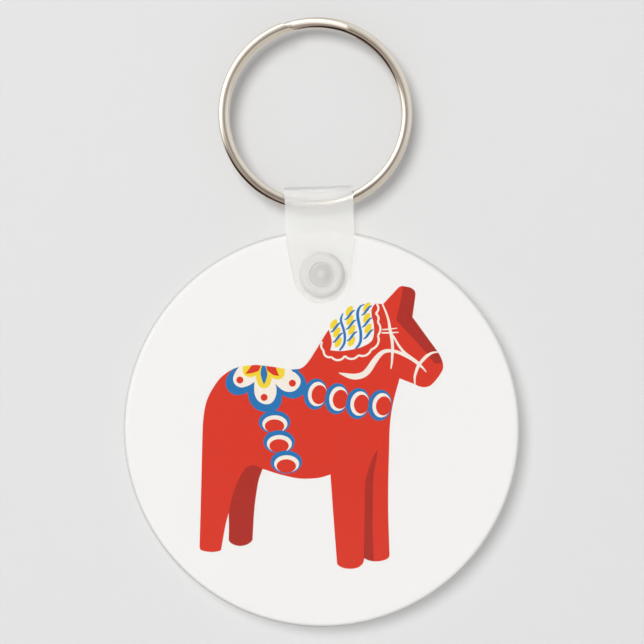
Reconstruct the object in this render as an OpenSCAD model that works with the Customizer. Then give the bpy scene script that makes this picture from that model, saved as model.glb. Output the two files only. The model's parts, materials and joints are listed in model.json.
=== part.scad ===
// Button key ring with a printed dala horse. Millimetres.
// The frame: +Z up, and the printed face looks along -Y. The origin is the inside top of the split ring.
// The pieces are drawn flat, the disc's centre at the origin and its face towards +Z, then stood upright.

/* [Disc] */
// Diameter of the disc over its cover film
disc_d = 57.15; // [50:0.05:60]
// Thickness of the disc over its cover film
disc_t = 3.2; // [3:0.1:3.2]
// Rounding of the disc's rim, front and back
rim_r = 0.9; // [0.8:0.05:1.1]
// Width of the rolled edge, seen from behind
lip_w = 1.6; // [1.4:0.1:2]
// Distance from the disc's centre up to the hole for the snap
snap_up = 22.1; // [21:0.1:22.5]
// Diameter of that hole
hole_d = 4.4; // [4.4:0.05:4.6]

/* [Disc layers] */
// Thickness of the clear cover film
film_t = 0.12; // [0.1:0.01:0.14]
// Thickness of one layer of ink
ink_t = 0.02; // [0.02:0.005:0.025]
// Thickness of the printed sheet
sheet_t = 0.14; // [0.1:0.01:0.16]
// Thickness of the tinplate of the front shell and of the back plate
tin_t = 0.3; // [0.25:0.01:0.32]

/* [Strap] */
// Width of the strap
strap_w = 9.8; // [9:0.1:10]
// Thickness of the strap
strap_t = 0.65; // [0.5:0.05:0.8]
// Inside radius of the strap's fold round the ring
fold_r = 1.72; // [1.72:0.01:1.9]
// Distance from the snap up to the centre of the fold
fold_up = 10.42; // [10.4:0.01:10.5]
// Radius of the strap's round ends
end_r = 4.1; // [4:0.1:4.5]
// Distance from the snap up to where the strap starts to narrow
taper_up = 4.7; // [4.5:0.1:6]
// How far the strap and the ring lean to the left of upright
lean = 2.37; // [0:0.01:4]

/* [Snap] */
// Diameter of the socket and of the post's head
snap_d = 6.5; // [6.4:0.1:7]
// Height of the socket on the strap
socket_h = 0.6; // [0.55:0.05:0.8]
// Diameter of the socket's bore
socket_bore_d = 3.44; // [3.4:0.02:3.5]
// Height of the post's head behind the strap
head_h = 0.75; // [0.6:0.05:0.9]

/* [Split ring] */
// Outer diameter of the ring
ring_d = 27.92; // [27.9:0.02:28]
// Width of the wire across the ring
wire_w = 1.56; // [1.5:0.02:1.56]
// Thickness of the wire along the ring's axis
wire_t = 0.95; // [0.8:0.05:0.95]
// How far the wire's round corners reach across it
round_w = 0.66; // [0.3:0.02:0.72]
// How far the wire's round corners reach along the ring's axis
round_t = 0.42; // [0.3:0.02:0.42]
// Distance from the snap up to the ring's centre
ring_up = 23.22; // [23.2:0.01:23.3]
// Where the front coil ends, counter-clockwise from the right
wire_end = 105; // [95:1:115]

/* [Hidden] */
$fn = 96;

// Heights in the disc, from its middle
disc_r = disc_d / 2;
half_t = disc_t / 2;
ink_layers = 5;
ink_room = ink_layers * ink_t;
sheet_in = film_t + ink_room;
shell_in = sheet_in + sheet_t;
sheet_front = half_t - sheet_in;

// Heights of the strap's legs, from the disc's middle
leg_in = fold_r;
leg_out = fold_r + strap_t;

// The snap
hole_r = hole_d / 2;
shank_clearance = 0.08;
shank_r = hole_r - shank_clearance;
neck_r = 1.45;
bulb_r = 1.65;
leg_hole_r = 1.5;
edge_round = 0.3;

// The split ring
ring_r = ring_d / 2;
eye_r = ring_r - wire_w;
jog = 36;
end_gap = 7;
ring_x = -ring_up * sin(lean);
ring_y = snap_up + ring_up * cos(lean);

// Steps of the arcs and curves that are drawn as short lines
corner_steps = 6;
end_steps = 24;
curve_steps = 4;
oval_steps = 28;

// ---- Curves ----

function unit(v) = v / norm(v);
function turned(v, a) = [v[0] * cos(a) - v[1] * sin(a), v[0] * sin(a) + v[1] * cos(a)];
function arc(centre, r, from, to, n = corner_steps) =
    [for (i = [0 : n]) centre + r * [cos(from + (to - from) * i / n), sin(from + (to - from) * i / n)]];

// A smooth curve through every point of a list. A third number in a point, its width, is carried along.
function between(a, b, c, d, t) =
    0.5 * (2 * b + (c - a) * t + (2 * a - 5 * b + 4 * c - d) * t * t + (3 * b - a - 3 * c + d) * t * t * t);
function curve(p, n = curve_steps) = [
    for (i = [0 : len(p) - 2])
        for (j = [0 : n - 1])
            between(p[max(i - 1, 0)], p[i], p[i + 1], p[min(i + 2, len(p) - 1)], j / n),
    p[len(p) - 1]
];

// A closed outline made of smooth runs. Each run starts at a corner, and ends where the next one starts.
function outline(runs) = [
    for (r = runs)
        let (c = curve(r))
            for (i = [0 : len(c) - 2]) c[i]
];

function oval(centre, size, tilt = 0) = [
    for (i = [0 : oval_steps - 1])
        centre + turned([size[0] * cos(i * 360 / oval_steps), size[1] * sin(i * 360 / oval_steps)], tilt)
];

// A brush stroke along points of [x, y, width]
module stroke(points) {
    c = curve(points);
    last = len(c) - 1;
    side = [
        for (i = [0 : last])
            let (d = c[min(i + 1, last)] - c[max(i - 1, 0)])
                turned(unit([d[0], d[1]]), 90) * c[i][2] / 2
    ];
    left = [for (i = [0 : last]) [c[i][0], c[i][1]] + side[i]];
    right = [for (i = [last : -1 : 0]) [c[i][0], c[i][1]] - side[i]];
    polygon(concat(left, right));
}

// An arc-shaped line from a to b that bulges to its left by rise
module bow(a, b, rise, width) {
    half = norm(b - a) / 2;
    r = (half * half + rise * rise) / (2 * rise);
    centre = (a + b) / 2 - turned(unit(b - a), 90) * (r - rise);
    from = atan2(a[1] - centre[1], a[0] - centre[0]);
    to = from - 2 * asin(half / r);
    polygon(concat(
        arc(centre, r + width / 2, from, to),
        arc(centre, r - width / 2, to, from)
    ));
}

// ---- Placing ----

module upright() {
    translate([-ring_x, 0, -ring_y - eye_r])
        rotate([90, 0, 0])
            children();
}

// Strap parts are drawn with the snap at the origin and the strap going up
module on_strap() {
    upright()
        translate([0, snap_up, 0])
            rotate([0, 0, lean])
                children();
}

module on_disc() {
    upright()
        children();
}

// ---- Disc ----

module snap_hole() {
    translate([0, snap_up, -disc_t])
        cylinder(r = hole_r, h = 2 * disc_t);
}

// One layer, wrapped over the face, round the rim and in behind, at a depth under the disc's outer surface
module wrapped(depth, t) {
    rim_x = disc_r - rim_r;
    rim_y = half_t - rim_r;
    outer = rim_r - depth;
    inner = outer - t;
    difference() {
        rotate_extrude()
            polygon(concat(
                [[0, half_t - depth]],
                arc([rim_x, rim_y], outer, 90, 0),
                arc([rim_x, -rim_y], outer, 0, -90),
                [[disc_r - lip_w, -half_t + depth], [disc_r - lip_w, -half_t + depth + t]],
                arc([rim_x, -rim_y], inner, -90, 0),
                arc([rim_x, rim_y], inner, 0, 90),
                [[0, half_t - depth - t]]
            ));
        snap_hole();
    }
}

module cover_film() {
    color([0.9, 0.93, 0.95, 0.3])
        on_disc()
            wrapped(0, film_t);
}

module print_sheet() {
    color([0.95, 0.945, 0.935])
        on_disc()
            wrapped(sheet_in, sheet_t);
}

module front_shell() {
    color([0.72, 0.72, 0.7])
        on_disc()
            wrapped(shell_in, tin_t);
}

// A dished plate: its edge sits inside the shell's rolled edge, and its middle comes out almost flush
module back_plate() {
    edge_back = -half_t + shell_in + tin_t;
    edge_r = disc_r - shell_in - tin_t - 0.3;
    dish_r = disc_r - 3.4;
    step_r = disc_r - 2.4;
    dish_back = -half_t + 0.1;
    color([0.93, 0.93, 0.92])
        on_disc()
            difference() {
                rotate_extrude()
                    polygon([
                        [0, dish_back], [dish_r, dish_back], [step_r, edge_back], [edge_r, edge_back],
                        [edge_r, edge_back + tin_t], [step_r - tin_t / 2, edge_back + tin_t],
                        [dish_r - tin_t / 2, dish_back + tin_t], [0, dish_back + tin_t]
                    ]);
                snap_hole();
            }
}

// ---- Strap and snap ----

// One leg's outline: parallel sides, then a straight taper that runs tangent into the round end
function leg_outline() =
    let (
        half = strap_w / 2,
        reach = norm([half, taper_up]),
        touch = 180 - atan2(taper_up, half) + acos(end_r / reach)
    )
    concat(
        [[half, fold_up], [-half, fold_up], [-half, taper_up]],
        arc([0, 0], end_r, touch, 540 - touch, end_steps),
        [[half, taper_up]]
    );

module strap_leg(hole) {
    difference() {
        linear_extrude(strap_t)
            polygon(leg_outline());
        translate([0, 0, -strap_t])
            cylinder(r = hole, h = 3 * strap_t);
    }
}

module strap() {
    color([0.93, 0.93, 0.92, 0.75])
        on_strap() {
            translate([0, 0, leg_in])
                strap_leg(leg_hole_r);
            translate([0, 0, -leg_out])
                strap_leg(shank_r);
            translate([0, fold_up, 0])
                rotate([0, 90, 0])
                    rotate_extrude(angle = 180)
                        translate([leg_in, -strap_w / 2])
                            square([strap_t, strap_w]);
        }
}

// A ring on the front leg, rounded outside, with a lip inside that the post's bulb snaps over
module snap_socket() {
    r = snap_d / 2;
    top = leg_out + socket_h;
    bore = socket_bore_d / 2;
    lip = leg_out + 0.14;
    color([0.92, 0.92, 0.91, 0.8])
        on_strap()
            rotate_extrude()
                polygon(concat(
                    [[leg_hole_r, leg_out], [r, leg_out]],
                    arc([r - edge_round, top - edge_round], edge_round, 0, 90),
                    [[bore + 0.15, top], [bore, top - 0.15], [bore, lip], [leg_hole_r, lip]]
                ));
}

// The head behind the back leg, the shank that the disc turns on, the neck in the front leg, and the bulb
module snap_post() {
    r = snap_d / 2;
    back = -leg_out - head_h;
    bulb = leg_out + 0.18;
    tip = leg_out + socket_h;
    color([0.9, 0.9, 0.89, 0.8])
        on_strap()
            rotate_extrude()
                polygon(concat(
                    [[0, back]],
                    arc([r - edge_round, back + edge_round], edge_round, -90, 0),
                    [[r, -leg_out], [shank_r, -leg_out], [shank_r, leg_in], [neck_r, leg_in],
                        [neck_r, bulb]],
                    [[bulb_r, bulb + 0.08]],
                    arc([bulb_r - 0.25, tip - 0.25], 0.25, 0, 90),
                    [[0, tip + 0.03]]
                ));
}

// ---- Split ring ----

// One of the wire's corners, as a quarter of an ellipse
function wire_corner(side, from) = [
    for (i = [0 : corner_steps])
        let (a = from + 90 * i / corner_steps)
            [
                side[0] * (wire_w / 2 - round_w) + round_w * cos(a),
                side[1] * (wire_t / 2 - round_t) + round_t * sin(a)
            ]
];

module wire_section() {
    translate([ring_r - wire_w / 2, 0])
        polygon(concat(
            wire_corner([1, 1], 0),
            wire_corner([-1, 1], 90),
            wire_corner([-1, -1], 180),
            wire_corner([1, -1], 270)
        ));
}

module wire_arc(from, span) {
    rotate([0, 0, from])
        rotate_extrude(angle = span)
            wire_section();
}

// Front coil, the short slanting stretch that goes behind it, and back coil
module split_ring() {
    slant = asin(wire_t / 2 / ((ring_r - wire_w / 2) * sin(jog / 2)));
    color([0.78, 0.75, 0.7])
        on_strap()
            translate([0, ring_up, 0]) {
                translate([0, 0, wire_t / 2])
                    wire_arc(wire_end, 360 - jog);
                rotate([0, 0, wire_end - jog / 2])
                    rotate([-slant, 0, 0])
                        wire_arc(-jog / 2, jog);
                translate([0, 0, -wire_t / 2])
                    wire_arc(wire_end, 360 - jog - end_gap);
            }
}

// ---- The printed horse ----
// Points are millimetres right and up from the disc's centre. In a stroke, the third number is its width.

hind_corner = [-13.37, -12.0];
belly_corner = [-8.5, -5.7];
ear_base = [8.81, 17.97];
crest_left = [0.99, 14.26];
crest_right = [7.7, 17.99];
brow = [12.96, 16.06];
throat = [11.13, 7.26];
leg_split = [6.06, -18.52];

horse_runs = [
    // Rump, and the near hind leg down its left side
    [[-9.5, 9.2], [-11.86, 8.91], [-13.28, 8.31], [-14.58, 7.31], [-15.54, 6.0], [-16.26, 4.68],
        [-16.73, 3.27], [-17.05, 1.0], [-17.18, -2.8], [-17.35, -10], [-17.55, -16.9]],
    [[-17.55, -16.9], [-17.38, -17.28], [-16.93, -17.48], [-15.9, -17.62], [-14.99, -17.54],
        [-14.47, -17.35]],
    // Inside of the near hind leg, up to the belly
    [[-14.47, -17.35], [-13.84, -13.82], hind_corner],
    [hind_corner, [-12.93, -9.95], [-12.25, -7.89], [-11.45, -6.29], [-10.76, -5.49], [-9.96, -5.19],
        [-9.27, -5.32], belly_corner],
    [belly_corner, [-7, -6.2], [-5.5, -6.63], [-3.22, -7.09], [-0.9, -7.05], [0.5, -6.75], [1.21, -6.49]],
    // Near front leg
    [[1.21, -6.49], [1.66, -12.72], [2.16, -19.26]],
    [[2.16, -19.26], [2.38, -19.56], [3.08, -19.91], [4.15, -20.03], [5.1, -19.86], [5.64, -19.5],
        [5.92, -19.14], leg_split],
    // Far front leg, chest and throat
    [leg_split, [6.77, -18.84], [7.72, -18.97], [8.44, -18.9], [9.14, -18.7], [9.56, -18.4],
        [9.68, -18.07]],
    [[9.68, -18.07], [9.5, -12.4], [9.5, -7.62], [9.62, -2.87], [9.75, 0.74], [10.2, 3.8], throat],
    // Jaw, nose and brow
    [throat, [12.2, 6.85], [13.39, 6.4]],
    [[13.39, 6.4], [13.84, 6.16], [14.64, 6.0], [15.46, 6.2], [16.06, 6.71], [16.71, 7.52], [17.21, 8.32],
        [17.36, 8.82], [17.31, 9.53], [16.96, 10.43], [16.55, 11.13]],
    [[16.55, 11.13], brow],
    // Ear
    [brow, [13.36, 18.9]],
    [[13.36, 18.9], [13.39, 19.5], [13.19, 19.93], [12.64, 20.29], [11.9, 20.44], [11.43, 20.5],
        [10.97, 20.3]],
    [[10.97, 20.3], ear_base],
    [ear_base, [8.3, 17.95], crest_right],
    // Edge of the bare mane patch
    [crest_right, [7.46, 17.78], [7.19, 17.34], [7.08, 16.85], [7.15, 16.17], [7.36, 15.35], [7.47, 14.39],
        [7.43, 13.57], [7.19, 12.74], [6.57, 12.19], [5.4, 11.65], [4.03, 11.34], [2.66, 11.17],
        [1.19, 11.3]],
    [[1.19, 11.3], [1.39, 12.19], [1.33, 13.02], crest_left],
    // Neck and back
    [crest_left, [0.54, 13.64], [-0.24, 12.34], [-1.1, 10.95], [-1.85, 9.8], [-2.64, 8.94], [-3.47, 8.6],
        [-4.97, 8.58], [-6.86, 8.9], [-8.3, 9.08], [-9.5, 9.2]]
];

far_hind_runs = [
    [belly_corner, [-9.05, -7.2], [-9.39, -9.03], [-9.68, -11.3], [-9.85, -13.8], [-9.96, -15.9]],
    [[-9.96, -15.9], [-10.19, -16.17], [-10.65, -16.5], [-11.56, -16.75], [-12.47, -16.63],
        [-13.16, -16.23], [-13.37, -15.83]],
    [[-13.37, -15.83], [-13.33, -14.06], hind_corner],
    [hind_corner, [-12.93, -9.95], [-12.25, -7.89], [-11.45, -6.29], [-10.76, -5.49], [-9.96, -5.19],
        [-9.27, -5.32], belly_corner]
];

// The shades run past the horse's edge, and are cut off there
front_shade_runs = [
    [[7.98, -3.0], [7.36, -3.94], [6.77, -5.48], [6.35, -6.91], [6.15, -8.81], [6.12, -12.37],
        [6.03, -15.94], [6.0, -19.5]],
    [[6.0, -19.5], [7.46, -19.5]],
    [[7.46, -19.5], [7.26, -14.74], [7.26, -11.18], [7.34, -7.62], [7.54, -5.6], [7.84, -4.05],
        [7.98, -3.0]]
];

face_shade_runs = [
    [[11.75, 21.2], [11.38, 18.98], [11.03, 17.27], [10.72, 16.1]],
    [[10.72, 16.1], [10.72, 15.6], [11.13, 15.06], [12.84, 13.25], [14.85, 11.03], [15.56, 10.13],
        [16.05, 9.5]],
    [[16.05, 9.5], [16.45, 9.36], [16.95, 9.5], [18.2, 10.0]],
    [[18.2, 10.0], [18.2, 21.2]],
    [[18.2, 21.2], [11.75, 21.2]]
];

// The saddle's shapes run past the horse's back, and are cut off there
saddle_top = 10.5;

saddle_border_runs = [
    [[-3.0, saddle_top], [-12.6, saddle_top]],
    [[-12.6, saddle_top], [-12.6, 8.72]],
    [[-12.6, 8.72], [-12.95, 8.4], [-13.41, 7.87], [-13.78, 7.05], [-13.78, 6.22], [-13.41, 5.49],
        [-12.75, 4.99], [-12.02, 4.87], [-11.28, 4.99], [-10.66, 5.27]],
    [[-10.66, 5.27], [-10.5, 4.3], [-10.11, 3.51], [-9.47, 2.85], [-8.5, 2.5], [-7.4, 2.45], [-6.4, 2.85],
        [-5.85, 3.67], [-5.67, 4.87]],
    [[-5.67, 4.87], [-5.1, 4.57], [-4.28, 4.37], [-3.47, 4.5], [-2.72, 4.9], [-2.2, 5.7], [-2.24, 6.6],
        [-2.48, 7.29], [-2.88, 7.87], [-3.3, 8.45], [-3.0, saddle_top]]
];

saddle_petal_runs = [
    [[-4.3, saddle_top], [-11.9, saddle_top]],
    [[-11.9, saddle_top], [-11.9, 8.88]],
    [[-11.9, 8.88], [-12.34, 8.28], [-12.71, 7.45], [-12.67, 6.79], [-12.26, 6.22], [-11.6, 5.97],
        [-10.86, 6.1], [-10.11, 6.46], [-9.67, 6.8]],
    [[-9.67, 6.8], [-9.71, 5.81], [-9.63, 4.99], [-9.3, 4.24], [-8.72, 3.75], [-7.98, 3.55], [-7.24, 3.75],
        [-6.75, 4.41], [-6.54, 5.15], [-6.54, 5.97], [-6.71, 6.55]],
    [[-6.71, 6.55], [-6.26, 6.06], [-5.6, 5.56], [-4.78, 5.32], [-3.95, 5.48], [-3.3, 6.06], [-3.05, 6.8],
        [-3.25, 7.45], [-3.79, 8.03], [-4.4, 8.55], [-4.3, saddle_top]]
];

saddle_fan_runs = [
    [[-5.5, saddle_top], [-11.2, saddle_top]],
    [[-11.2, saddle_top], [-11.35, 8.6], [-11.2, 7.85], [-10.75, 7.52], [-10.12, 7.43], [-9.46, 7.7]],
    [[-9.46, 7.7], [-9.38, 7.04], [-9.1, 6.28], [-8.65, 5.92], [-8.31, 5.85], [-7.95, 5.92], [-7.5, 6.28],
        [-7.24, 7.04], [-7.24, 7.45]],
    [[-7.24, 7.45], [-6.83, 7.2], [-6.17, 7.1], [-5.6, 7.45], [-5.36, 8.1], [-5.5, saddle_top]]
];

left_leaf_runs = [
    [[-10.99, 7.95], [-10.45, 8.6], [-9.79, 9.6]],
    [[-9.79, 9.6], [-8.6, 9.6]],
    [[-8.6, 9.6], [-9.0, 8.5], [-9.46, 8.2], [-10.29, 7.98], [-10.99, 7.95]]
];

right_leaf_runs = [
    [[-6.13, 7.62], [-6.42, 8.3], [-6.9, 9.6]],
    [[-6.9, 9.6], [-8.1, 9.6]],
    [[-8.1, 9.6], [-7.85, 8.5], [-7.5, 8.15], [-6.91, 7.74], [-6.13, 7.62]]
];

middle_leaf_runs = [
    [[-8.44, 9.6], [-8.75, 8.5], [-8.78, 7.85], [-8.6, 7.1], [-8.31, 6.39]],
    [[-8.31, 6.39], [-8.0, 7.1], [-7.83, 7.85], [-7.95, 8.5], [-8.26, 9.6]],
    [[-8.26, 9.6], [-8.44, 9.6]]
];

petal_dots = [[-11.77, 7.03], [-8.29, 4.54], [-4.24, 6.57]];
dot_r = 0.5;

// Each chain is a row of beads. A bead is a blue oval, a cream one and a red one, each a little shifted.
chest_beads = [[-0.92, 5.02], [2.12, 4.35], [5.15, 3.66], [8.31, 3.41]];
chest_ovals = [[1.7, 2.24], [1.34, 1.76], [1.1, 1.37]];
chest_shift = [[0, 0], [0.26, 0], [0.53, -0.09]];
chest_tilt = -8;
flank_beads = [[-6.8, 1.0], [-6.15, -1.83], [-5.11, -4.72]];
flank_ovals = [[2.26, 1.66], [1.8, 1.25], [1.39, 0.97]];
flank_shift = [[0, 0], [0.05, -0.27], [0, -0.58]];

mane_lines = [
    [[3.04, 16.62, 0.12], [2.77, 16.03, 0.28], [2.73, 15.48, 0.34], [2.91, 14.87, 0.36],
        [3.11, 14.25, 0.36], [3.25, 13.57, 0.36], [3.28, 12.88, 0.36], [3.18, 12.26, 0.34],
        [2.87, 11.72, 0.32], [2.5, 11.24, 0.24]],
    [[6.09, 17.87, 0.12], [5.54, 17.61, 0.26], [5.2, 17.06, 0.38], [5.1, 16.38, 0.42], [5.2, 15.62, 0.42],
        [5.37, 14.8, 0.4], [5.54, 13.98, 0.4], [5.57, 13.22, 0.4], [5.51, 12.54, 0.38], [5.2, 11.92, 0.34],
        [4.76, 11.5, 0.22]]
];
mane_ticks = [[1.97, 14.58], [2.28, 13.1], [3.98, 16.36], [4.17, 14.97], [4.31, 13.31], [6.4, 17.0],
    [6.45, 15.28], [6.65, 13.6]];
mane_flecks = [[1.67, 15.05], [2.1, 13.85], [2.32, 12.4], [3.9, 16.95], [4.0, 15.6], [4.26, 14.2],
    [4.24, 12.55], [6.4, 17.45], [6.38, 15.95], [6.6, 14.4]];
// One tick and one fleck, about their own middles
tick = [[-0.76, -0.7, 0.1], [-0.42, -0.52, 0.26], [0, 0, 0.34], [0.38, 0.48, 0.28], [0.76, 0.68, 0.1]];
fleck = [[-0.4, -0.66, 0.24], [-0.17, -0.3, 0.74], [0.13, 0.22, 0.8], [0.42, 0.66, 0.26]];

// The scalloped line round the mane: its cusps in order, and how far each scallop bulges
scallop_cusps = [[7.84, 17.95], [7.69, 16.55], [7.98, 15.34], [8.01, 13.42], [7.05, 11.4], [5.23, 10.59],
    [3.28, 10.49], [1.36, 10.34], [0.26, 11.23], [0.04, 12.5]];
scallop_rises = [0.32, 0.27, 0.38, 0.52, 0.46, 0.5, 0.55, 0.42, 0.26];
scallop_w = 0.3;

harness = [
    // Cheek strap
    [[8.64, 17.95, 0.22], [9.12, 16.87, 0.26], [9.52, 15.66, 0.32], [9.72, 14.45, 0.42],
        [9.92, 13.45, 0.44], [10.07, 12.44, 0.42], [10.12, 11.43, 0.4], [10.07, 10.43, 0.34],
        [10.0, 9.43, 0.26], [9.87, 8.62, 0.14]],
    // Two cross bars
    [[8.62, 14.25, 0.16], [9.4, 14.3, 0.2], [10.78, 14.46, 0.12]],
    [[8.56, 13.79, 0.18], [9.6, 13.79, 0.22], [10.97, 13.87, 0.14]],
    // Slanting strap
    [[9.92, 13.75, 0.2], [10.33, 13.14, 0.28], [11.03, 11.94, 0.32], [11.83, 10.94, 0.4],
        [12.83, 10.13, 0.5], [13.75, 9.43, 0.46], [14.45, 8.77, 0.28], [14.95, 8.17, 0.12]],
    // Noseband
    [[16.62, 11.03, 0.16], [15.85, 10.94, 0.3], [15.05, 10.49, 0.44], [14.34, 9.78, 0.44],
        [13.84, 9.12, 0.46], [13.49, 8.22, 0.4], [13.29, 7.42, 0.32], [13.32, 6.44, 0.18]],
    // Rein
    [[2.44, 8.05, 0.1], [3.17, 7.82, 0.44], [4.0, 7.6, 0.72], [4.9, 7.52, 0.84], [5.92, 7.8, 0.86],
        [6.65, 8.45, 0.88], [7.41, 9.6, 0.82], [8.11, 10.5, 0.7], [8.81, 11.07, 0.56], [9.61, 11.23, 0.48],
        [10.63, 11.09, 0.46], [11.63, 10.69, 0.44], [12.83, 10.03, 0.4], [13.75, 9.43, 0.3]]
];

// A flat layer of ink, counted up from the sheet
module printed(layer) {
    on_disc()
        translate([0, 0, sheet_front + layer * ink_t])
            linear_extrude(ink_t)
                children();
}

module bead(beads, ovals, shift, tilt, i, which) {
    polygon(oval(beads[i] + shift[which], ovals[which], tilt));
}

// One oval of every bead in a chain. A bead hides what it covers of the bead before it.
module chain(beads, ovals, shift, tilt, which) {
    for (i = [0 : len(beads) - 1])
        if (which == 0 || i == len(beads) - 1)
            bead(beads, ovals, shift, tilt, i, which);
        else
            difference() {
                bead(beads, ovals, shift, tilt, i, which);
                bead(beads, ovals, shift, tilt, i + 1, 0);
            }
}

module chest_chain(which) {
    chain(chest_beads, chest_ovals, chest_shift, chest_tilt, which);
}

module flank_chain(which) {
    chain(flank_beads, flank_ovals, flank_shift, 0, which);
}

// Cut off where the horse ends
module on_horse() {
    intersection() {
        polygon(outline(horse_runs));
        children();
    }
}

module shades() {
    polygon(outline(front_shade_runs));
    polygon(outline(face_shade_runs));
}

// The mane's lines and ticks, which end where the red begins
module mane_blue() {
    difference() {
        union() {
            for (line = mane_lines)
                stroke(line);
            for (p = mane_ticks)
                translate(p)
                    stroke(tick);
        }
        polygon(outline(horse_runs));
    }
}

module ink_red() {
    color([0.86, 0.24, 0.18]) {
        printed(0)
            difference() {
                polygon(outline(horse_runs));
                shades();
            }
        printed(3) {
            chest_chain(2);
            flank_chain(2);
            for (p = petal_dots)
                translate(p)
                    circle(r = dot_r);
        }
        printed(4)
            on_horse() {
                polygon(outline(left_leaf_runs));
                polygon(outline(right_leaf_runs));
            }
    }
}

module ink_dark_red() {
    color([0.69, 0.21, 0.18])
        printed(0) {
            polygon(outline(far_hind_runs));
            on_horse()
                shades();
        }
}

module ink_blue() {
    color([0.18, 0.49, 0.73]) {
        printed(0)
            mane_blue();
        printed(1) {
            on_horse()
                polygon(outline(saddle_border_runs));
            chest_chain(0);
            flank_chain(0);
        }
        printed(4)
            on_horse()
                polygon(outline(middle_leaf_runs));
    }
}

module ink_cream() {
    color([0.95, 0.94, 0.89]) {
        printed(1)
            on_horse() {
                for (i = [0 : len(scallop_rises) - 1])
                    bow(scallop_cusps[i], scallop_cusps[i + 1], scallop_rises[i], scallop_w);
                for (line = harness)
                    stroke(line);
            }
        printed(2) {
            on_horse()
                polygon(outline(saddle_petal_runs));
            chest_chain(1);
            flank_chain(1);
        }
    }
}

module ink_yellow() {
    color([0.95, 0.86, 0.22]) {
        printed(0)
            difference() {
                for (p = mane_flecks)
                    translate(p)
                        stroke(fleck);
                mane_blue();
                polygon(outline(horse_runs));
            }
        printed(3)
            on_horse()
                polygon(outline(saddle_fan_runs));
    }
}

split_ring();
strap();
snap_socket();
snap_post();
cover_film();
ink_red();
ink_dark_red();
ink_blue();
ink_cream();
ink_yellow();
print_sheet();
front_shell();
back_plate();
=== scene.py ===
# Button key ring with a printed dala horse.
# Metres, in the frame's own axes: +Z up, the printed face looks along -Y,
# and the origin is the ring's inside top.
import json
import math

import bmesh
import bpy
from mathutils import Matrix, Vector


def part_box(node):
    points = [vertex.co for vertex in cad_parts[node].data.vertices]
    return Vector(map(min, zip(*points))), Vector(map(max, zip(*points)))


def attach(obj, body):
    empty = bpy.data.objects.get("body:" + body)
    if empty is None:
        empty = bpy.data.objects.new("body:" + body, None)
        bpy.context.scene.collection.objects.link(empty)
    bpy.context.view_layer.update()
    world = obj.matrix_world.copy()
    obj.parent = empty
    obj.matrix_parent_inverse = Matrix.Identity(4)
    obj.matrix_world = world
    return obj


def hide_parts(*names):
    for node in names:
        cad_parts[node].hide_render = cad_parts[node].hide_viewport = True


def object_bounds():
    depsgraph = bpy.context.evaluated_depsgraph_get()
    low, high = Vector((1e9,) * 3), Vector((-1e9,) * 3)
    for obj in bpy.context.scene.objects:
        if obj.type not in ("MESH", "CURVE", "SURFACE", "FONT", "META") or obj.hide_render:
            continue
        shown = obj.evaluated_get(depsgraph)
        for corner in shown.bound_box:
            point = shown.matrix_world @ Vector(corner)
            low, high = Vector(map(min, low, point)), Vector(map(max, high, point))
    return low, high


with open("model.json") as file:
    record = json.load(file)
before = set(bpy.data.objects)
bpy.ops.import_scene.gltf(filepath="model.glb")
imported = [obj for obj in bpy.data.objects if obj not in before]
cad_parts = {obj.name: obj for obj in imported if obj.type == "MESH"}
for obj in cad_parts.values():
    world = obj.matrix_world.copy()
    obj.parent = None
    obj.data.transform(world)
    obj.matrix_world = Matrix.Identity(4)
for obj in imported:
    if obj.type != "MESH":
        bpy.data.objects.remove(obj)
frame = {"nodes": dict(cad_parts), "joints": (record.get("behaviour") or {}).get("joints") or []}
cad_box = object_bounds()

MM = 0.001

# ---- Places, from the frame ----

film_low, film_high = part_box("cover_film")
post_low, post_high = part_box("snap_post")
ring_low, ring_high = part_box("split_ring")
_, strap_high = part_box("strap")

DISC_R = (film_high.z - film_low.z) / 2
HALF_T = (film_high.y - film_low.y) / 2
DISC_AT = Vector(((film_high.x + film_low.x) / 2, 0, (film_high.z + film_low.z) / 2))
SNAP_R = (post_high.x - post_low.x) / 2
SNAP_AT = Vector(((post_high.x + post_low.x) / 2, 0, (post_high.z + post_low.z) / 2))
SNAP_UP = SNAP_AT.z - DISC_AT.z

swing_joint = frame["joints"][0]
swing_axis = Vector(swing_joint["axis"])
SWING_AT = Vector(swing_joint["pos_m"])
LEAN = math.atan2(swing_axis.z, swing_axis.x)

# The wire's width is how far the ring stands over the origin, which is its inside top
WIRE_W = ring_high.z
WIRE_T = (ring_high.y - ring_low.y) / 2
RING_R = (ring_high.z - ring_low.z) / 2
RING_AT = Vector((0, 0, (ring_high.z + ring_low.z) / 2))

# Heights out from the disc's middle, towards the viewer
LEG_OUT = strap_high.y
STRAP_T = 0.65 * MM
LEG_IN = LEG_OUT - STRAP_T
POST_BACK = -post_high.y
POST_TIP = -post_low.y
FOLD_UP = (SWING_AT - SNAP_AT).length

# ---- Sizes of the layers and details ----

# Points closer than this are one point, and measures closer than this are the same
SAME = 1e-7
NEAR = 1e-6
# Faces that rest on each other stay this far apart, so that light passes each of them once
SEAM = 0.02 * MM

# The disc: its rounded rim, its layers from the outside in, and the hole for the snap
RIM_R = 0.9 * MM
FILM_T = 0.12 * MM
INK_T = 0.1 * MM
SHEET_T = 0.14 * MM
TIN_T = 0.3 * MM
LIP_W = 1.6 * MM
HOLE_R = 2.2 * MM
RIM_STEPS = 10
DISC_STEPS = 192

# The back plate: how far its flat and its step lie inside the rim, and its gap to the shell
PLATE_FLAT_IN = 3.4 * MM
PLATE_STEP_IN = 2.4 * MM
PLATE_UP = 0.1 * MM
PLATE_GAP = 0.3 * MM
PLATE_BEND_R = 0.3 * MM
# How much of the plate's flat is spun with its step. The rest is joined to the hole
PLATE_SPUN_W = 0.4 * MM

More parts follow.
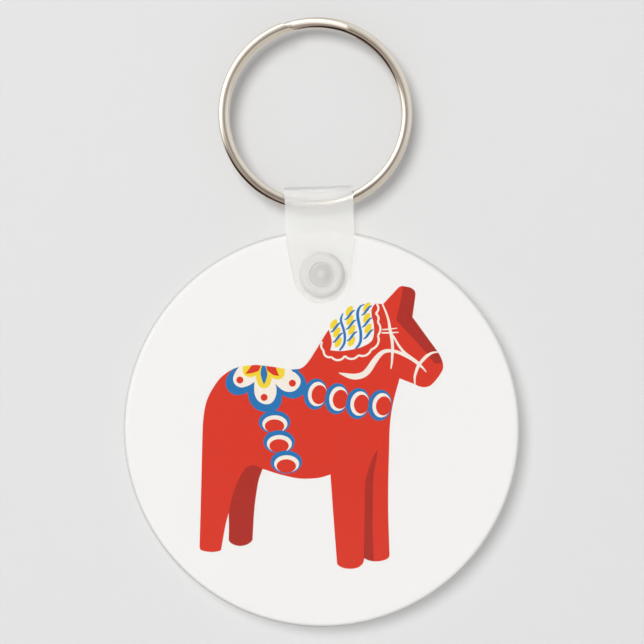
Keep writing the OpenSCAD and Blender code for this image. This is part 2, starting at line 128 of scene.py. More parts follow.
# The strap: its width, its round ends, where its legs start to narrow, and the front leg's hole
STRAP_W = 9.8 * MM
END_R = 4.1 * MM
TAPER_UP = 4.7 * MM
FRONT_HOLE_R = 1.5 * MM
# Edges of the strap that turn by more than this are rounded
CORNER = math.radians(60)
EDGE_R = 0.14 * MM
FOLD_STEPS = 24
END_STEPS = 32
STRAP_HOLE_STEPS = 48
SNAP_STEPS = 128

# The snap's socket
SOCKET_BORE_R = 1.72 * MM
SOCKET_BELOW_TIP = 0.03 * MM
SOCKET_FLOOR_T = 0.14 * MM
SOCKET_SLOPE = 0.45 * MM
SOCKET_EDGE_R = 0.36 * MM
SOCKET_MOUTH_R = 0.2 * MM

# The snap's post. The bulb's shoulder and dome are depths under its tip
SHANK_R = HOLE_R - 0.08 * MM
NECK_R = 1.45 * MM
NECK_UP = 0.18 * MM
BULB_R = 1.7 * MM
BULB_SLOPE = 0.08 * MM
SHOULDER_DOWN = 0.3 * MM
DOME_R = 1.0 * MM
DOME_DOWN = 0.08 * MM
HEAD_EDGE_R = 0.3 * MM
SHOULDER_EDGE_R = 0.2 * MM
DOME_EDGE_R = 0.5 * MM

# The ring's wire: where its front end lies, how far it takes to drop behind, and the gap at its back end
WIRE_END = math.radians(105)
WIRE_JOG = math.radians(36)
WIRE_GAP = math.radians(7)
FRONT_STEPS = 216
JOG_STEPS = 30
BACK_STEPS = 210
# How far the section's rounded corners reach across the wire and along the ring's axis
ROUND_W = 0.66 * MM
ROUND_T = 0.42 * MM
END_SLANT = math.radians(6)
END_REACH = math.radians(14)
# The grinding is counted from this far before the end, so that the end face isn't a whole turn past it
END_SLACK = 1e-5
# How far apart the wire's draw lines are
DRAW_LINE = 0.14 * MM

# A painted highlight on the bulb: a pale spot a little up and to the left of the dome's middle, towards the
# key light
HIGHLIGHT_R = 0.85 * MM
HIGHLIGHT_CORE_R = 0.1 * HIGHLIGHT_R
HIGHLIGHT_AT = SNAP_AT + Vector((-0.1 * MM, -POST_TIP, 0.1 * MM))

# ---- Making meshes ----

# Turns the flat drawing (right, up, towards the viewer) upright
UPRIGHT = Matrix.Rotation(math.radians(90), 4, "X")


def placed(at, lean=0.0):
    """From a flat drawing about its own middle to its place in the frame."""
    return Matrix.Translation(at) @ UPRIGHT @ Matrix.Rotation(lean, 4, "Z")


def wire(bm, points, closed=False):
    """A line through points. Returns its vertices and its edges."""
    verts = [bm.verts.new(p) for p in points]
    edges = [bm.edges.new(pair) for pair in zip(verts, verts[1:])]
    if closed:
        edges.append(bm.edges.new((verts[-1], verts[0])))
    return verts, edges


def arc(centre, r, start, end, steps):
    """Points along an arc in the drawing's plane, angles in degrees."""
    angles = [math.radians(start + (end - start) * i / steps) for i in range(steps + 1)]
    return [Vector((centre[0] + r * math.cos(a), centre[1] + r * math.sin(a), 0)) for a in angles]


def hole_edge(bm, r, at, steps):
    """A circle, for the edge of a hole. Returns its edges."""
    circle = bmesh.ops.create_circle(bm, cap_ends=False, segments=steps, radius=r,
                                     matrix=Matrix.Translation(at))
    return list(dict.fromkeys(e for v in circle["verts"] for e in v.link_edges))


def rounded(bm, verts, radius, segments):
    """Rounds the corners of a line at these vertices."""
    bmesh.ops.bevel(bm, geom=verts, offset=radius, offset_type="OFFSET", segments=segments, profile=0.5,
                    affect="VERTICES", material=-1)


def rounded_at(bm, point, radius, segments):
    """Rounds the corner of a line at a point."""
    rounded(bm, [v for v in bm.verts if (v.co - Vector(point)).length < SAME], radius, segments)


def spun(bm, steps):
    """Turns everything drawn so far once round the drawing's Z axis."""
    bmesh.ops.spin(bm, geom=bm.verts[:] + bm.edges[:], cent=(0, 0, 0), axis=(0, 0, 1), angle=2 * math.pi,
                   steps=steps, use_merge=True, use_duplicate=False)


def finished(name, bm):
    """The mesh of a finished shape."""
    mesh = bpy.data.meshes.new(name)
    bm.to_mesh(mesh)
    bm.free()
    return mesh


def linked(name, data):
    """A new object in the scene."""
    obj = bpy.data.objects.new(name, data)
    bpy.context.scene.collection.objects.link(obj)
    return obj


def piece(name, bm, at, body, nodes, material, sharp=40):
    """Finishes a mesh and puts it in the scene, on its body and in place of its CAD nodes.
    Edges that turn by more than sharp degrees stay crisp."""
    bmesh.ops.remove_doubles(bm, verts=bm.verts, dist=SAME)
    bmesh.ops.recalc_face_normals(bm, faces=bm.faces)
    bmesh.ops.transform(bm, matrix=at, verts=bm.verts)
    for f in bm.faces:
        f.smooth = True
    for e in bm.edges:
        e.smooth = e.is_manifold and e.calc_face_angle(0) < math.radians(sharp)
    obj = linked(name, finished(name, bm))
    obj.data.materials.append(material)
    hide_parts(*nodes)
    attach(obj, body)


# ---- Materials ----

# How much of the light on its way to something else the milky plastic lets by
LIGHT_LET_BY = 0.9


def srgb(r, g, b):
    """A colour given as 0 to 255 for each channel, as the shader's linear values."""
    return tuple((c / 255 / 12.92) if c <= 10 else ((c / 255 + 0.055) / 1.055) ** 2.4 for c in (r, g, b))


def new_material(name):
    """An empty material, its node tree and its output."""
    mat = bpy.data.materials.new(name)
    mat.use_nodes = True
    mat.node_tree.nodes.clear()
    out = mat.node_tree.nodes.new("ShaderNodeOutputMaterial")
    return mat, mat.node_tree, out


def node(tree, kind, **values):
    """A node with its properties and its sockets' values set."""
    n = tree.nodes.new(kind)
    for key, value in values.items():
        if key in n.bl_rna.properties:
            setattr(n, key, value)
        else:
            n.inputs[key.replace("_", " ")].default_value = value
    return n


def feed(tree, socket, value):
    """Joins another node's output to a socket, or sets the socket to a plain value."""
    if isinstance(value, bpy.types.NodeSocket):
        tree.links.new(value, socket)
    else:
        socket.default_value = value


def worked(tree, operation, *values, kind="ShaderNodeMath", result="Value"):
    """The result of a maths node fed with numbers, vectors or other nodes' outputs."""
    n = node(tree, kind, operation=operation)
    for socket, value in zip(n.inputs, values):
        feed(tree, socket, value)
    return n.outputs[result]


def worked_vector(tree, operation, *values, result="Value"):
    """The result of a vector maths node."""
    return worked(tree, operation, *values, kind="ShaderNodeVectorMath", result=result)


def blended(tree, amount, below, above):
    """A colour that turns from one to another as the amount goes from 0 to 1."""
    mix = node(tree, "ShaderNodeMix", data_type="RGBA")
    feed(tree, mix.inputs[0], amount)
    feed(tree, mix.inputs[6], below)
    feed(tree, mix.inputs[7], above)
    return mix.outputs[2]


def mixed(tree, amount, first, second):
    """The first shader where the amount is 0, and the second where it is 1."""
    mix = tree.nodes.new("ShaderNodeMixShader")
    tree.links.new(amount, mix.inputs[0])
    tree.links.new(first.outputs[0], mix.inputs[1])
    tree.links.new(second.outputs[0], mix.inputs[2])
    return mix


def noise_over(tree, **values):
    """A noise over the object."""
    coords = tree.nodes.new("ShaderNodeTexCoord")
    noise = node(tree, "ShaderNodeTexNoise", **values)
    tree.links.new(coords.outputs["Object"], noise.inputs["Vector"])
    return noise


def on_outside(tree):
    """1 on the outside of a surface, and 0 on its inside."""
    geometry = tree.nodes.new("ShaderNodeNewGeometry")
    return worked(tree, "SUBTRACT", 1, geometry.outputs["Backfacing"])


def principled(tree, out, colour, **values):
    """A Principled shader with these values, joined to the output."""
    p = tree.nodes.new("ShaderNodeBsdfPrincipled")
    p.inputs["Base Color"].default_value = (*colour, 1)
    for key, value in values.items():
        p.inputs[key.replace("_", " ")].default_value = value
    tree.links.new(p.outputs[0], out.inputs["Surface"])
    return p


def mottling_group():
    """Mottling: a noise that pulls a colour between two others, with the same noise as a value."""
    group = bpy.data.node_groups.new("mottling", "ShaderNodeTree")
    face = group.interface
    face.new_socket("Light", in_out="INPUT", socket_type="NodeSocketColor")
    face.new_socket("Dark", in_out="INPUT", socket_type="NodeSocketColor")
    face.new_socket("Scale", in_out="INPUT", socket_type="NodeSocketFloat")
    face.new_socket("Detail", in_out="INPUT", socket_type="NodeSocketFloat")
    face.new_socket("Color", in_out="OUTPUT", socket_type="NodeSocketColor")
    face.new_socket("Value", in_out="OUTPUT", socket_type="NodeSocketFloat")
    start = group.nodes.new("NodeGroupInput")
    end = group.nodes.new("NodeGroupOutput")
    noise = noise_over(group, Roughness=0.6)
    group.links.new(start.outputs["Scale"], noise.inputs["Scale"])
    group.links.new(start.outputs["Detail"], noise.inputs["Detail"])
    colour = blended(group, noise.outputs["Fac"], start.outputs["Dark"], start.outputs["Light"])
    group.links.new(colour, end.inputs["Color"])
    group.links.new(noise.outputs["Fac"], end.inputs["Value"])
    return group


MOTTLING = mottling_group()


def mottled(tree, shader, light, dark, scale, detail):
    """Feeds a shader's colour from the mottling group. Returns the group's colour and its value."""
    g = node(tree, "ShaderNodeGroup", node_tree=MOTTLING, Light=(*light, 1), Dark=(*dark, 1), Scale=scale,
             Detail=detail)
    tree.links.new(g.outputs["Color"], shader.inputs["Base Color"])
    return g.outputs["Color"], g.outputs["Value"]


def spread(tree, value, low, high):
    """A value from 0 to 1 stretched to between low and high."""
    n = node(tree, "ShaderNodeMapRange", To_Min=low, To_Max=high)
    tree.links.new(value, n.inputs["Value"])
    return n.outputs["Result"]


def faded(tree, value, none, full):
    """0 where a value is at none, rising smoothly to 1 where it is at full."""
    n = node(tree, "ShaderNodeMapRange", interpolation_type="SMOOTHSTEP", From_Min=none, From_Max=full)
    tree.links.new(value, n.inputs["Value"])
    return n.outputs["Result"]


def roughened(tree, shader, value, low, high):
    """Gives a shader a roughness that varies between low and high with a value."""
    tree.links.new(spread(tree, value, low, high), shader.inputs["Roughness"])


def bumped(tree, shader, height, distance, strength):
    """Gives a shader a bump from a height."""
    b = node(tree, "ShaderNodeBump", Strength=strength, Distance=distance)
    tree.links.new(height, b.inputs["Height"])
    tree.links.new(b.outputs["Normal"], shader.inputs["Normal"])


def ink(name, colour):
    """Printing ink: a flat colour with the faint unevenness of a print on paper."""
    mat, tree, out = new_material(name)
    light = srgb(*(min(255, c * 1.015 + 1) for c in colour))
    dark = srgb(*(c * 0.975 for c in colour))
    p = principled(tree, out, light, Roughness=0.5, Specular_IOR_Level=0.05)
    _, grain = mottled(tree, p, light, dark, scale=2600, detail=4)
    roughened(tree, p, grain, 0.42, 0.58)
    return mat


def paper():
    """White print paper, with a fine tooth."""
    mat, tree, out = new_material("white_paper")
    p = principled(tree, out, srgb(242, 241, 239), Roughness=0.6, Specular_IOR_Level=0.05)
    _, tooth = mottled(tree, p, srgb(244, 243, 241), srgb(240, 239, 237), scale=1800, detail=4)
    roughened(tree, p, tooth, 0.52, 0.68)
    bumped(tree, p, tooth, distance=0.004 * MM, strength=0.4)
    return mat


def film():
    """Clear film: seen through, with a gloss on its outside that grows towards its edges."""
    mat, tree, out = new_material("clear_film")
    clear = tree.nodes.new("ShaderNodeBsdfTransparent")
    gloss = node(tree, "ShaderNodeBsdfGlossy", Roughness=0.12)
    haze = noise_over(tree, Scale=60, Detail=2)
    roughened(tree, gloss, haze.outputs["Fac"], 0.08, 0.16)
    fresnel = node(tree, "ShaderNodeFresnel", IOR=1.45)
    shine = worked(tree, "MULTIPLY", fresnel.outputs[0], on_outside(tree))
    tree.links.new(mixed(tree, shine, clear, gloss).outputs[0], out.inputs["Surface"])
    return mat


def painted_highlight(tree, plastic, at, colour):
    """The plastic's colour with a painted highlight: a paler spot that fades outwards."""
    coords = tree.nodes.new("ShaderNodeTexCoord")
    away = worked_vector(tree, "DISTANCE", coords.outputs["Object"], at)
    return blended(tree, faded(tree, away, HIGHLIGHT_R, HIGHLIGHT_CORE_R), plastic, (*colour, 1))


def milky(name, colour, clearness, highlight=None):
    """Milky see-through plastic, slightly uneven from moulding. It blurs what is behind it and lets light by.
    The last argument is the colour of its painted highlight, if it has one."""
    mat, tree, out = new_material(name)
    p = principled(tree, out, srgb(*colour), Roughness=0.55, IOR=1.12, Transmission_Weight=clearness,
                   Specular_IOR_Level=0.5)
    light, dark = srgb(*(c * 1.01 for c in colour)), srgb(*(c * 0.99 for c in colour))
    plastic, flow = mottled(tree, p, light, dark, scale=500, detail=3)
    # A painted highlight on the bulb's dome, mixed into the plastic's colour
    if highlight:
        tree.links.new(painted_highlight(tree, plastic, HIGHLIGHT_AT, srgb(*highlight)), p.inputs["Base Color"])
    roughened(tree, p, flow, 0.5, 0.6)
    bumped(tree, p, flow, distance=0.006 * MM, strength=0.3)
    clear = node(tree, "ShaderNodeBsdfTransparent", Color=(*srgb(246, 245, 243), 1))
    path = tree.nodes.new("ShaderNodeLightPath")
    let_by = worked(tree, "MULTIPLY", path.outputs["Is Shadow Ray"], LIGHT_LET_BY)
    tree.links.new(mixed(tree, let_by, p, clear).outputs[0], out.inputs["Surface"])
    return mat


def draw_lines(tree):
    """Fine lines along the wire. Each keeps its distance from the ring's axis, but wanders a little."""
    coords = tree.nodes.new("ShaderNodeTexCoord")
    about_axis = worked_vector(tree, "SUBTRACT", coords.outputs["Object"], RING_AT, result="Vector")
    flat = worked_vector(tree, "MULTIPLY", about_axis, (1, 0, 1), result="Vector")
    line = worked(tree, "MULTIPLY", worked_vector(tree, "LENGTH", flat), 1 / DRAW_LINE)
    wander = spread(tree, noise_over(tree, Scale=90, Detail=2).outputs["Fac"], -2, 2)
    streak = node(tree, "ShaderNodeTexNoise", noise_dimensions="1D", Scale=1, Detail=2)
    tree.links.new(worked(tree, "ADD", line, wander), streak.inputs["W"])
    return streak.outputs["Fac"]


def nickel():
    """Polished nickel plate, with the lines that the wire was drawn with."""
    mat, tree, out = new_material("nickel_wire")
    p = principled(tree, out, srgb(226, 218, 206), Metallic=1.0, Roughness=0.09)
    _, tarnish = mottled(tree, p, srgb(232, 225, 215), srgb(216, 207, 195), scale=420, detail=4)
    roughened(tree, p, tarnish, 0.04, 0.12)
    bumped(tree, p, draw_lines(tree), distance=0.012 * MM, strength=0.35)
    return mat


def tinplate():
    """Bare tinplate, satin, with a faint spangle."""
    mat, tree, out = new_material("tinplate")
    p = principled(tree, out, srgb(200, 200, 198), Metallic=1.0, Roughness=0.35)
    _, spangle = mottled(tree, p, srgb(208, 208, 205), srgb(190, 190, 188), scale=260, detail=5)
    roughened(tree, p, spangle, 0.28, 0.44)
    bumped(tree, p, spangle, distance=0.006 * MM, strength=0.3)
    return mat


def lacquer():
    """White lacquered plate, with a slight orange peel."""
    mat, tree, out = new_material("white_plate")
    p = principled(tree, out, srgb(236, 236, 234), Roughness=0.35)
    _, peel = mottled(tree, p, srgb(240, 240, 238), srgb(228, 228, 225), scale=900, detail=4)
    roughened(tree, p, peel, 0.28, 0.46)
    bumped(tree, p, peel, distance=0.01 * MM, strength=0.4)
    return mat


PAPER = paper()
FILM = film()
STRAP_PLASTIC = milky("milky_plastic", (232, 232, 231), clearness=0.64)
# The snap's plastic carries a painted highlight on the bulb's dome
SNAP_PLASTIC = milky("dense_milky_plastic", (227, 226, 223), clearness=0.3, highlight=(244, 242, 239))
NICKEL = nickel()
TINPLATE = tinplate()
LACQUER = lacquer()

# ---- Disc ----

def rim_loop(bm, r, z):
    """The open edge of a spun layer at a radius and a height."""
    near = {v for v in bm.verts if abs(v.co.z - z) < NEAR and abs(v.co.xy.length - r) < NEAR}
    return [e for e in bm.edges if e.is_boundary and e.verts[0] in near and e.verts[1] in near]


def joined_to_hole(bm, r, *heights):
    """Joins a spun layer's two flats, which end at a radius, to the edges of the snap's hole, and lines
    the hole."""
    holes = [hole_edge(bm, HOLE_R, (0, SNAP_UP, z), DISC_STEPS) for z in heights]
    for z, hole in zip(heights, holes):
        bmesh.ops.bridge_loops(bm, edges=rim_loop(bm, r, z) + hole)
    bmesh.ops.bridge_loops(bm, edges=holes[0] + holes[1])


def wrapped(name, depth, t, material):
    """One layer wrapped over the face, round the rim and in behind, at a depth under the disc's outside."""
    bm = bmesh.new()
    rim = (DISC_R - RIM_R, HALF_T - RIM_R)
    under = (rim[0], -rim[1])
    lip = DISC_R - LIP_W
    flat = rim[0] - RIM_R / 2
    outer, inner = RIM_R - depth, RIM_R - depth - t
    top, low = HALF_T - depth, HALF_T - depth - t
    outline = [Vector((flat, top, 0))]
    outline += arc(rim, outer, 90, 0, RIM_STEPS)
    outline += arc(under, outer, 0, -90, RIM_STEPS)
    outline += [Vector((lip, -top, 0)), Vector((lip, -low, 0))]
    outline += arc(under, inner, -90, 0, RIM_STEPS)
    outline += arc(rim, inner, 0, 90, RIM_STEPS)
    outline += [Vector((flat, low, 0))]
    wire(bm, [Vector((p.x, 0, p.y)) for p in outline])
    spun(bm, DISC_STEPS)
    joined_to_hole(bm, flat, top, low)
    piece(name, bm, placed(DISC_AT), "tag", [name], material)


def back_plate():
    """A dished plate. Its edge sits inside the shell's rolled edge."""
    bm = bmesh.new()
    shell_in = FILM_T + INK_T + SHEET_T
    edge = -HALF_T + shell_in + TIN_T
    dish = -HALF_T + PLATE_UP
    edge_r = DISC_R - shell_in - TIN_T - PLATE_GAP
    dish_r, step_r = DISC_R - PLATE_FLAT_IN, DISC_R - PLATE_STEP_IN
    flat = dish_r - PLATE_SPUN_W
    low, _ = wire(bm, [(flat, 0, dish), (dish_r, 0, dish), (step_r, 0, edge), (edge_r, 0, edge)])
    top, _ = wire(bm, [(edge_r, 0, edge + TIN_T), (step_r - TIN_T / 2, 0, edge + TIN_T),
                       (dish_r - TIN_T / 2, 0, dish + TIN_T), (flat, 0, dish + TIN_T)])
    bm.edges.new((low[-1], top[0]))
    rounded(bm, [low[1], low[2], top[1], top[2]], PLATE_BEND_R, 4)
    spun(bm, DISC_STEPS)
    joined_to_hole(bm, flat, dish, dish + TIN_T)
    piece("back_plate", bm, placed(DISC_AT), "tag", ["back_plate"], LACQUER)


def inked(name, colour):
    """Gives a printed layer its ink."""
    layer = frame["nodes"][name]
    layer.data.materials.clear()
    layer.data.materials.append(ink(name, colour))


wrapped("cover_film", 0, FILM_T, FILM)
wrapped("print_sheet", FILM_T + INK_T, SHEET_T, PAPER)
wrapped("front_shell", FILM_T + INK_T + SHEET_T, TIN_T, TINPLATE)
back_plate()
inked("ink_red", (217, 58, 41))
inked("ink_dark_red", (174, 49, 41))
inked("ink_blue", (42, 118, 180))
inked("ink_cream", (243, 235, 223))
inked("ink_yellow", (242, 213, 57))

# ---- Strap and snap ----

def leg_outline():
    """A leg from its round end up to the fold, about the snap. The taper runs tangent into the round end."""
    half = STRAP_W / 2
    reach = math.hypot(half, TAPER_UP)
    touch = math.degrees(math.pi - math.atan2(TAPER_UP, half) + math.acos(END_R / reach))
    points = [Vector((half, FOLD_UP, 0)), Vector((-half, FOLD_UP, 0)), Vector((-half, TAPER_UP, 0))]
    # The other side touches at the mirrored angle, 180 - touch, which the arc reaches a turn later
    points += arc((0, 0), END_R, touch, 540 - touch, END_STEPS)
    points.append(Vector((half, TAPER_UP, 0)))
    return points


def leg(bm, side, hole_r):
    """A leg of the strap, cut out with its hole: side is 1 for the front one and -1 for the back one."""
    z = LEG_OUT * side
    _, rim = wire(bm, [p + Vector((0, 0, z)) for p in leg_outline()], closed=True)
    hole = hole_edge(bm, hole_r, (0, 0, z), STRAP_HOLE_STEPS)
    face = bmesh.ops.triangle_fill(bm, use_beauty=True, edges=rim + hole)
    faces = [f for f in face["geom"] if isinstance(f, bmesh.types.BMFace)]
    wall = bmesh.ops.extrude_face_region(bm, geom=faces, use_keep_orig=True)
    moved = [v for v in wall["geom"] if isinstance(v, bmesh.types.BMVert)]
    bmesh.ops.translate(bm, vec=(0, 0, -STRAP_T * side), verts=moved)


def fold(bm):
    """Opens the end face at the top of each leg, and turns the front one's edge over to the back one's."""
    tops = [f for f in bm.faces if all(abs(v.co.y - FOLD_UP) < NEAR for v in f.verts)]
    front = [e for f in tops if f.calc_center_median().z > 0 for e in f.edges]
    bmesh.ops.delete(bm, geom=tops, context="FACES_ONLY")
    bmesh.ops.spin(bm, geom=front, cent=(0, FOLD_UP, 0), axis=(-1, 0, 0), angle=math.pi, steps=FOLD_STEPS,
                   use_merge=False, use_duplicate=False)
    bmesh.ops.remove_doubles(bm, verts=bm.verts, dist=NEAR)
    bmesh.ops.recalc_face_normals(bm, faces=bm.faces)


def strap():
    """One strip: a front leg, the fold turned over the ring, and a back leg that grips the post's shank."""
    bm = bmesh.new()
    leg(bm, 1, FRONT_HOLE_R)
    leg(bm, -1, SHANK_R + SEAM)
    fold(bm)
    corners = [e for e in bm.edges if e.is_manifold and e.calc_face_angle(0) > CORNER]
    bmesh.ops.bevel(bm, geom=corners, offset=EDGE_R, offset_type="OFFSET", segments=3, profile=0.5,
                    affect="EDGES", material=-1)
    piece("strap", bm, placed(SNAP_AT, LEAN), "loop", ["strap"], STRAP_PLASTIC, sharp=50)


def snap_socket():
    """The ring on the front leg that the post is pressed into, rounded outside."""
    bm = bmesh.new()
    bottom, top = LEG_OUT + SEAM, POST_TIP - SOCKET_BELOW_TIP
    floor_top = bottom + SOCKET_FLOOR_T
    outer_top = (SNAP_R - SOCKET_SLOPE, 0, top)
    mouth = (SOCKET_BORE_R, 0, top)
    wire(bm, [(FRONT_HOLE_R, 0, bottom), (SNAP_R, 0, bottom), outer_top, mouth, (SOCKET_BORE_R, 0, floor_top),
              (FRONT_HOLE_R, 0, floor_top)], closed=True)
    rounded_at(bm, outer_top, SOCKET_EDGE_R, 8)
    rounded_at(bm, mouth, SOCKET_MOUTH_R, 6)
    spun(bm, SNAP_STEPS)
    piece("snap_socket", bm, placed(SNAP_AT, LEAN), "loop", ["snap_socket"], SNAP_PLASTIC)


def snap_post():
    """The head behind the back leg, the shank the disc turns on, the neck and the domed bulb."""
    bm = bmesh.new()
    head = -LEG_OUT - SEAM
    shank = LEG_IN - SEAM
    neck = LEG_OUT + NECK_UP
    head_edge = (SNAP_R, 0, POST_BACK)
    shoulder = (BULB_R, 0, POST_TIP - SHOULDER_DOWN)
    dome = (DOME_R, 0, POST_TIP - DOME_DOWN)
    wire(bm, [(0, 0, POST_BACK), head_edge, (SNAP_R, 0, head), (SHANK_R, 0, head), (SHANK_R, 0, shank),
              (NECK_R, 0, shank), (NECK_R, 0, neck), (BULB_R, 0, neck + BULB_SLOPE), shoulder, dome,
              (0, 0, POST_TIP)])
    rounded_at(bm, head_edge, HEAD_EDGE_R, 6)
    rounded_at(bm, shoulder, SHOULDER_EDGE_R, 6)
    rounded_at(bm, dome, DOME_EDGE_R, 6)
    spun(bm, SNAP_STEPS)
    piece("snap_post", bm, placed(SNAP_AT, LEAN), "loop", ["snap_post"], SNAP_PLASTIC)


strap()
snap_socket()
snap_post()

# ---- Split ring ----

def coil(bm, end, angle, steps, drop):
    """Turns the wire's end face on through an angle, dropping behind. Returns the new end face."""
    edges = dict.fromkeys(e for f in end for e in f.edges)
    verts = dict.fromkeys(v for f in end for v in f.verts)
    result = bmesh.ops.spin(bm, geom=[*end, *edges, *verts], cent=(0, 0, 0), axis=(0, 0, 1),
                            dvec=(0, 0, -drop / steps), angle=angle, steps=steps, use_merge=False,
                            use_duplicate=False)
    return [f for f in result["geom_last"] if isinstance(f, bmesh.types.BMFace)]


def ground_end(bm):
    """The wire's front end is ground slanting, so that its outside stops short of its inside."""
    inside = RING_R - WIRE_W
    start = WIRE_END - END_SLACK
    for v in bm.verts:
        past = (math.atan2(v.co.y, v.co.x) - start) % (2 * math.pi)
        if past > END_REACH:
            continue
        outward = (v.co.xy.length - inside) / WIRE_W
        slip = END_SLANT * outward * (1 - past / END_REACH)
        v.co.xy = Matrix.Rotation(slip, 2) @ v.co.xy


def split_ring():
    """The wire's section turned once round in front, across the jog, and once round behind."""
    bm = bmesh.new()
    # Drawn narrower, so that its corners are round, and then widened
    half_w, half_t = WIRE_W / 2 * ROUND_T / ROUND_W, WIRE_T / 2
    corners = [(-half_w, 0, -half_t), (half_w, 0, -half_t), (half_w, 0, half_t), (-half_w, 0, half_t)]
    section = bm.faces.new([bm.verts.new(c) for c in corners])
    rounded(bm, section.verts[:], ROUND_T, 8)
    bmesh.ops.scale(bm, vec=(ROUND_W / ROUND_T, 1, 1), verts=bm.verts)
    bmesh.ops.translate(bm, vec=(RING_R - WIRE_W / 2, 0, half_t), verts=bm.verts)
    bmesh.ops.rotate(bm, cent=(0, 0, 0), matrix=Matrix.Rotation(WIRE_END, 3, "Z"), verts=bm.verts)
    turn = 2 * math.pi - WIRE_JOG
    end = coil(bm, bm.faces[:], turn, FRONT_STEPS, 0)
    ground_end(bm)
    end = coil(bm, end, WIRE_JOG, JOG_STEPS, WIRE_T)
    coil(bm, end, turn - WIRE_GAP, BACK_STEPS, 0)
    piece("split_ring", bm, placed(RING_AT), "ring", ["split_ring"], NICKEL)


split_ring()

# ---- Stage: camera, wall, floor and lights ----

view_centre = (cad_box[0] + cad_box[1]) / 2
VIEW_MARGIN = 1.05
VIEW_HEIGHT = (cad_box[1].z - cad_box[0].z) * VIEW_MARGIN
LENS = 100
SENSOR = 36

# The wall stands just behind the snap, for a close shadow, and the floor well below the disc
WALL_GAP = 0.15 * MM
FLOOR_DROP = 0.05
WALL_Y = post_high.y + WALL_GAP
FLOOR_Z = cad_box[0].z - FLOOR_DROP
WALL_SIZE = 0.24
FLOOR_SIZE = 1.2
WALL_GREY = (223, 223, 223)
FLOOR_GREY = (232, 232, 232)
ROOM_GREY = (230, 230, 230)
# The wall turns clear where rays that reach this far behind it meet a part of the object
CLEAR_REACH = 0.09
# It keeps its paint where this share of those rays runs free
ALL_FREE = 0.999

# The lights: which way they lie from the object, how wide they are, and their power
KEY_FROM = Vector((-0.43, -1.44, 0.43))
KEY_SIZE = 0.82
KEY_POWER = 15.5
FILL_FROM = Vector((0.5, 1.4, 0.6))
FILL_SIZE = 0.9
FILL_POWER = 15
ROOM_POWER = 0.37


def camera():
    """Looks straight at the face, with the whole object in view."""
    data = bpy.data.cameras.new("camera")
    data.lens = LENS
    data.sensor_width = SENSOR
    obj = linked("camera", data)
    obj.location = (view_centre.x, -HALF_T - VIEW_HEIGHT * LENS / SENSOR, view_centre.z)
    obj.rotation_euler = (math.radians(90), 0, 0)
    bpy.context.scene.camera = obj


def card(name, size, matrix, material):
    """A flat square stage card."""
    bm = bmesh.new()
    bmesh.ops.create_grid(bm, x_segments=1, y_segments=1, size=size / 2)
    obj = linked(name, finished(name, bm))
    obj.matrix_world = matrix
    obj.data.materials.append(material)
    return obj


def floor_white():
    """Plain pale paint."""
    mat, tree, out = new_material("stage_white")
    principled(tree, out, srgb(*FLOOR_GREY), Roughness=0.9)
    return mat


def wall_white():
    """Pale wall paint, clear from behind and wherever a part of the object has swung behind the wall."""
    mat, tree, out = new_material("wall_white")
    matt = node(tree, "ShaderNodeBsdfDiffuse", Color=(*srgb(*WALL_GREY), 1))
    clear = tree.nodes.new("ShaderNodeBsdfTransparent")
    behind = node(tree, "ShaderNodeAmbientOcclusion", samples=16, inside=True, Distance=CLEAR_REACH)
    nothing = worked(tree, "GREATER_THAN", behind.outputs["AO"], ALL_FREE)
    painted = worked(tree, "MULTIPLY", nothing, on_outside(tree))
    tree.links.new(mixed(tree, painted, clear, matt).outputs[0], out.inputs["Surface"])
    return mat


def wall():
    """The wall behind. The object's back is lit as if it were not there."""
    at = Matrix.Translation((0, WALL_Y, FLOOR_Z + WALL_SIZE / 2))
    obj = card("wall", WALL_SIZE, at @ UPRIGHT, wall_white())
    obj.visible_shadow = False
    obj.visible_diffuse = False
    obj.visible_glossy = False


def floor():
    """The floor in front of the wall."""
    obj = card("floor", FLOOR_SIZE, Matrix.Translation((0, WALL_Y - FLOOR_SIZE / 2, FLOOR_Z)), floor_white())
    obj.visible_glossy = False


def soft_light(name, way, size, power):
    """A round light that looks at the middle of the object. The wire mirrors the room, and not this light."""
    data = bpy.data.lights.new(name, "AREA")
    data.shape = "DISK"
    data.size = size
    data.energy = power
    obj = linked(name, data)
    obj.location = view_centre + way
    obj.rotation_euler = (-way).to_track_quat("-Z", "Y").to_euler()
    obj.visible_glossy = False


camera()
wall()
floor()
soft_light("key", KEY_FROM, KEY_SIZE, KEY_POWER)
soft_light("back_fill", FILL_FROM, FILL_SIZE, FILL_POWER)

# ---- The room that the wire mirrors ----

# Its colours, as light: the board is brighter than white
WHITE_BOARD = (1.6, 1.62, 1.66, 1)
PALE_WALL = (0.92, 0.93, 0.92, 1)
WARM_ROOM = (0.74, 0.72, 0.68, 1)
BROWN_SIDE = (0.45, 0.39, 0.36, 1)
DARK_CORNER = (0.03, 0.018, 0.015, 1)
LENS_SIDE = (0.24, 0.2, 0.18, 1)


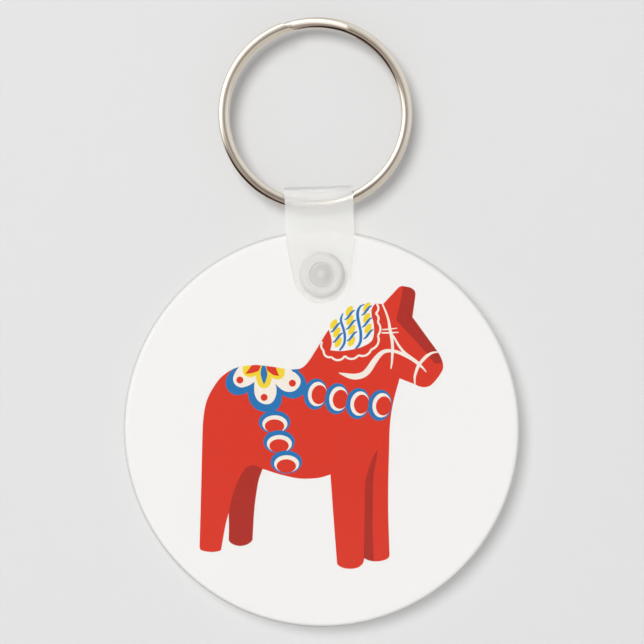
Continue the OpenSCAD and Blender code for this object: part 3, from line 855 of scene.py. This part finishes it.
def slanted(off_front, sideways):
    """A direction some degrees off the front, towards an angle counted round from the right."""
    off, turn = math.radians(off_front), math.radians(sideways)
    return Vector((math.sin(off) * math.cos(turn), -math.cos(off), math.sin(off) * math.sin(turn)))


def toward(sky, way, full, none):
    """1 where the room lies that way from the object, falling to 0: full and none are degrees off it."""
    coords = sky.nodes.new("ShaderNodeTexCoord")
    dot = worked_vector(sky, "DOT_PRODUCT", coords.outputs["Generated"], way.normalized())
    return faded(sky, dot, math.cos(math.radians(none)), math.cos(math.radians(full)))


def mirrored_room(sky):
    """The room as the wire mirrors it, painted one colour over another."""
    room = WARM_ROOM
    for colour, way, full, none in [
        (PALE_WALL, slanted(60, 40), 34, 48),
        (WHITE_BOARD, slanted(52, 145), 32, 40),
        (BROWN_SIDE, slanted(34, 232), 22, 34),
        (DARK_CORNER, slanted(80, 234), 38, 45),
        (LENS_SIDE, slanted(0, 0), 4, 10),
    ]:
        room = blended(sky, toward(sky, way, full, none), room, colour)
    return room


def surroundings():
    """The room: pale grey where it is seen, painted where the wire mirrors it, and white light otherwise."""
    world = bpy.data.worlds.new("room")
    bpy.context.scene.world = world
    world.cycles.sampling_method = "NONE"
    world.use_nodes = True
    sky = world.node_tree
    sky.nodes.clear()
    out = sky.nodes.new("ShaderNodeOutputWorld")
    path = sky.nodes.new("ShaderNodeLightPath")
    seen = node(sky, "ShaderNodeBackground", Color=(*srgb(*ROOM_GREY), 1), Strength=1.0)
    mirrored = node(sky, "ShaderNodeBackground", Strength=1.0)
    sky.links.new(mirrored_room(sky), mirrored.inputs["Color"])
    lighting = node(sky, "ShaderNodeBackground", Color=(1, 1, 1, 1), Strength=ROOM_POWER)
    in_view = worked(sky, "MAXIMUM", path.outputs["Is Camera Ray"], path.outputs["Is Transmission Ray"])
    unseen = mixed(sky, path.outputs["Is Glossy Ray"], lighting, mirrored)
    sky.links.new(mixed(sky, in_view, unseen, seen).outputs[0], out.inputs["Surface"])


surroundings()
bpy.context.scene.view_settings.view_transform = "Standard"
